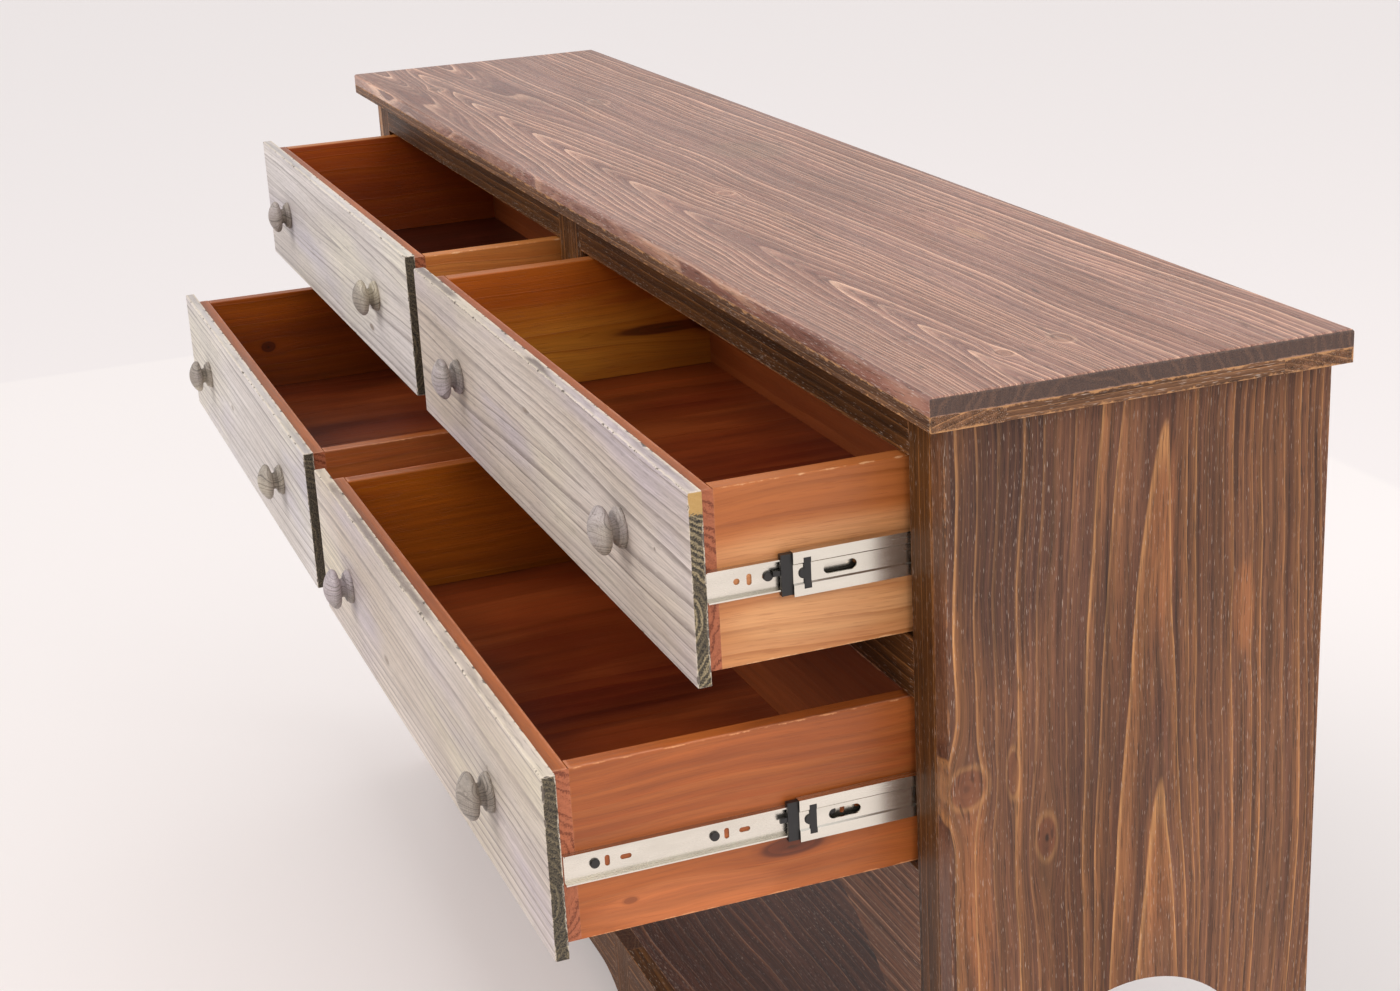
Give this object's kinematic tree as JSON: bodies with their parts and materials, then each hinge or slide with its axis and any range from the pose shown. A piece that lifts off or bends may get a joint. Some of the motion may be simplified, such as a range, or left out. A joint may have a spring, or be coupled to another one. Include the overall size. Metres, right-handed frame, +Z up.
{
  "type": "dresser with drawers",
  "caption": "Long, narrow wooden dresser with overlay drawers on ball-bearing slides, above an open shelf space with arched sides and apron.",
  "frame": {"origin": "middle of the underside of the front middle foot, on the floor", "axes": "+X along the length to the right, +Y to the back, +Z up; the drawers open towards -Y"},
  "size_m": [1.8, 0.6555, 1.04],
  "materials": {
    "case_wood": "dark brown stained pine with a pale cerused grain, satin",
    "front_wood": "grey-beige washed pine, satin",
    "box_wood": "amber stained pine, lacquered",
    "bottom_wood": "reddish brown stained plywood, satin",
    "back_wood": "brown stained plywood and blocks, matt",
    "slide_steel": "bright zinc plated",
    "black_plastic": "matt black",
    "screw_black": "black oxide"
  },
  "bodies": {
    "case": {"top_board": "case_wood", "top_edge_strips": "case_wood", "side_panel_left": "case_wood", "side_panel_right": "case_wood", "stile_left": "case_wood", "stile_right": "case_wood", "stile_centre": "case_wood", "top_rails": "case_wood", "middle_rails": "case_wood", "front_apron": "case_wood", "back_rail": "case_wood", "back_panel": "back_wood", "centre_partition": "back_wood", "slide_cleats": "back_wood", "case_slide_members": "slide_steel", "bottom_shelf": "case_wood", "base_rails": "case_wood", "side_base_rails": "case_wood", "centre_feet": "case_wood"},
    "drawer_upper_left": {"drawer_upper_left_front": "front_wood", "drawer_upper_left_box_front": "box_wood", "drawer_upper_left_box_sides": "box_wood", "drawer_upper_left_box_back": "box_wood", "drawer_upper_left_bottom": "bottom_wood", "drawer_upper_left_knobs": "front_wood", "drawer_upper_left_slide_members": "slide_steel", "drawer_upper_left_slide_screws": "screw_black"},
    "slides_upper_left": {"slides_upper_left_middle_members": "slide_steel", "slides_upper_left_ball_cages": "black_plastic"},
    "drawer_upper_right": {"drawer_upper_right_front": "front_wood", "drawer_upper_right_box_front": "box_wood", "drawer_upper_right_box_sides": "box_wood", "drawer_upper_right_box_back": "box_wood", "drawer_upper_right_bottom": "bottom_wood", "drawer_upper_right_knobs": "front_wood", "drawer_upper_right_slide_members": "slide_steel", "drawer_upper_right_slide_screws": "screw_black"},
    "slides_upper_right": {"slides_upper_right_middle_members": "slide_steel", "slides_upper_right_ball_cages": "black_plastic"},
    "drawer_lower_left": {"drawer_lower_left_front": "front_wood", "drawer_lower_left_box_front": "box_wood", "drawer_lower_left_box_sides": "box_wood", "drawer_lower_left_box_back": "box_wood", "drawer_lower_left_bottom": "bottom_wood", "drawer_lower_left_knobs": "front_wood", "drawer_lower_left_slide_members": "slide_steel", "drawer_lower_left_slide_screws": "screw_black"},
    "slides_lower_left": {"slides_lower_left_middle_members": "slide_steel", "slides_lower_left_ball_cages": "black_plastic"},
    "drawer_lower_right": {"drawer_lower_right_front": "front_wood", "drawer_lower_right_box_front": "box_wood", "drawer_lower_right_box_sides": "box_wood", "drawer_lower_right_box_back": "box_wood", "drawer_lower_right_bottom": "bottom_wood", "drawer_lower_right_knobs": "front_wood", "drawer_lower_right_slide_members": "slide_steel", "drawer_lower_right_slide_screws": "screw_black"},
    "slides_lower_right": {"slides_lower_right_middle_members": "slide_steel", "slides_lower_right_ball_cages": "black_plastic"}
  },
  "joints": [
    {"name": "drawer_upper_left_slide", "type": "slide", "parent": "case", "child": "drawer_upper_left", "axis": [0, -1, 0], "range_m": [-0.1615, 0.1385]},
    {"name": "slides_upper_left_slide", "type": "slide", "parent": "case", "child": "slides_upper_left", "axis": [0, -1, 0], "range_m": [-0.1105, 0.09483]},
    {"name": "drawer_upper_right_slide", "type": "slide", "parent": "case", "child": "drawer_upper_right", "axis": [0, -1, 0], "range_m": [-0.166, 0.134]},
    {"name": "slides_upper_right_slide", "type": "slide", "parent": "case", "child": "slides_upper_right", "axis": [0, -1, 0], "range_m": [-0.11051, 0.0893]},
    {"name": "drawer_lower_left_slide", "type": "slide", "parent": "case", "child": "drawer_lower_left", "axis": [0, -1, 0], "range_m": [-0.29, 0.01]},
    {"name": "slides_lower_left_slide", "type": "slide", "parent": "case", "child": "slides_lower_left", "axis": [0, -1, 0], "range_m": [-0.11351, 0.0044]},
    {"name": "drawer_lower_right_slide", "type": "slide", "parent": "case", "child": "drawer_lower_right", "axis": [0, -1, 0], "range_m": [-0.29, 0.01]},
    {"name": "slides_lower_right_slide", "type": "slide", "parent": "case", "child": "slides_lower_right", "axis": [0, -1, 0], "range_m": [-0.11351, 0.0044]}
  ],
  "couplings": [
    {"joint": "slides_upper_left_slide", "follows": "drawer_upper_left_slide", "ratio": 0.6811},
    {"joint": "slides_upper_right_slide", "follows": "drawer_upper_right_slide", "ratio": 0.6627},
    {"joint": "slides_lower_left_slide", "follows": "drawer_lower_left_slide", "ratio": 0.3897},
    {"joint": "slides_lower_right_slide", "follows": "drawer_lower_right_slide", "ratio": 0.3897}
  ]
}
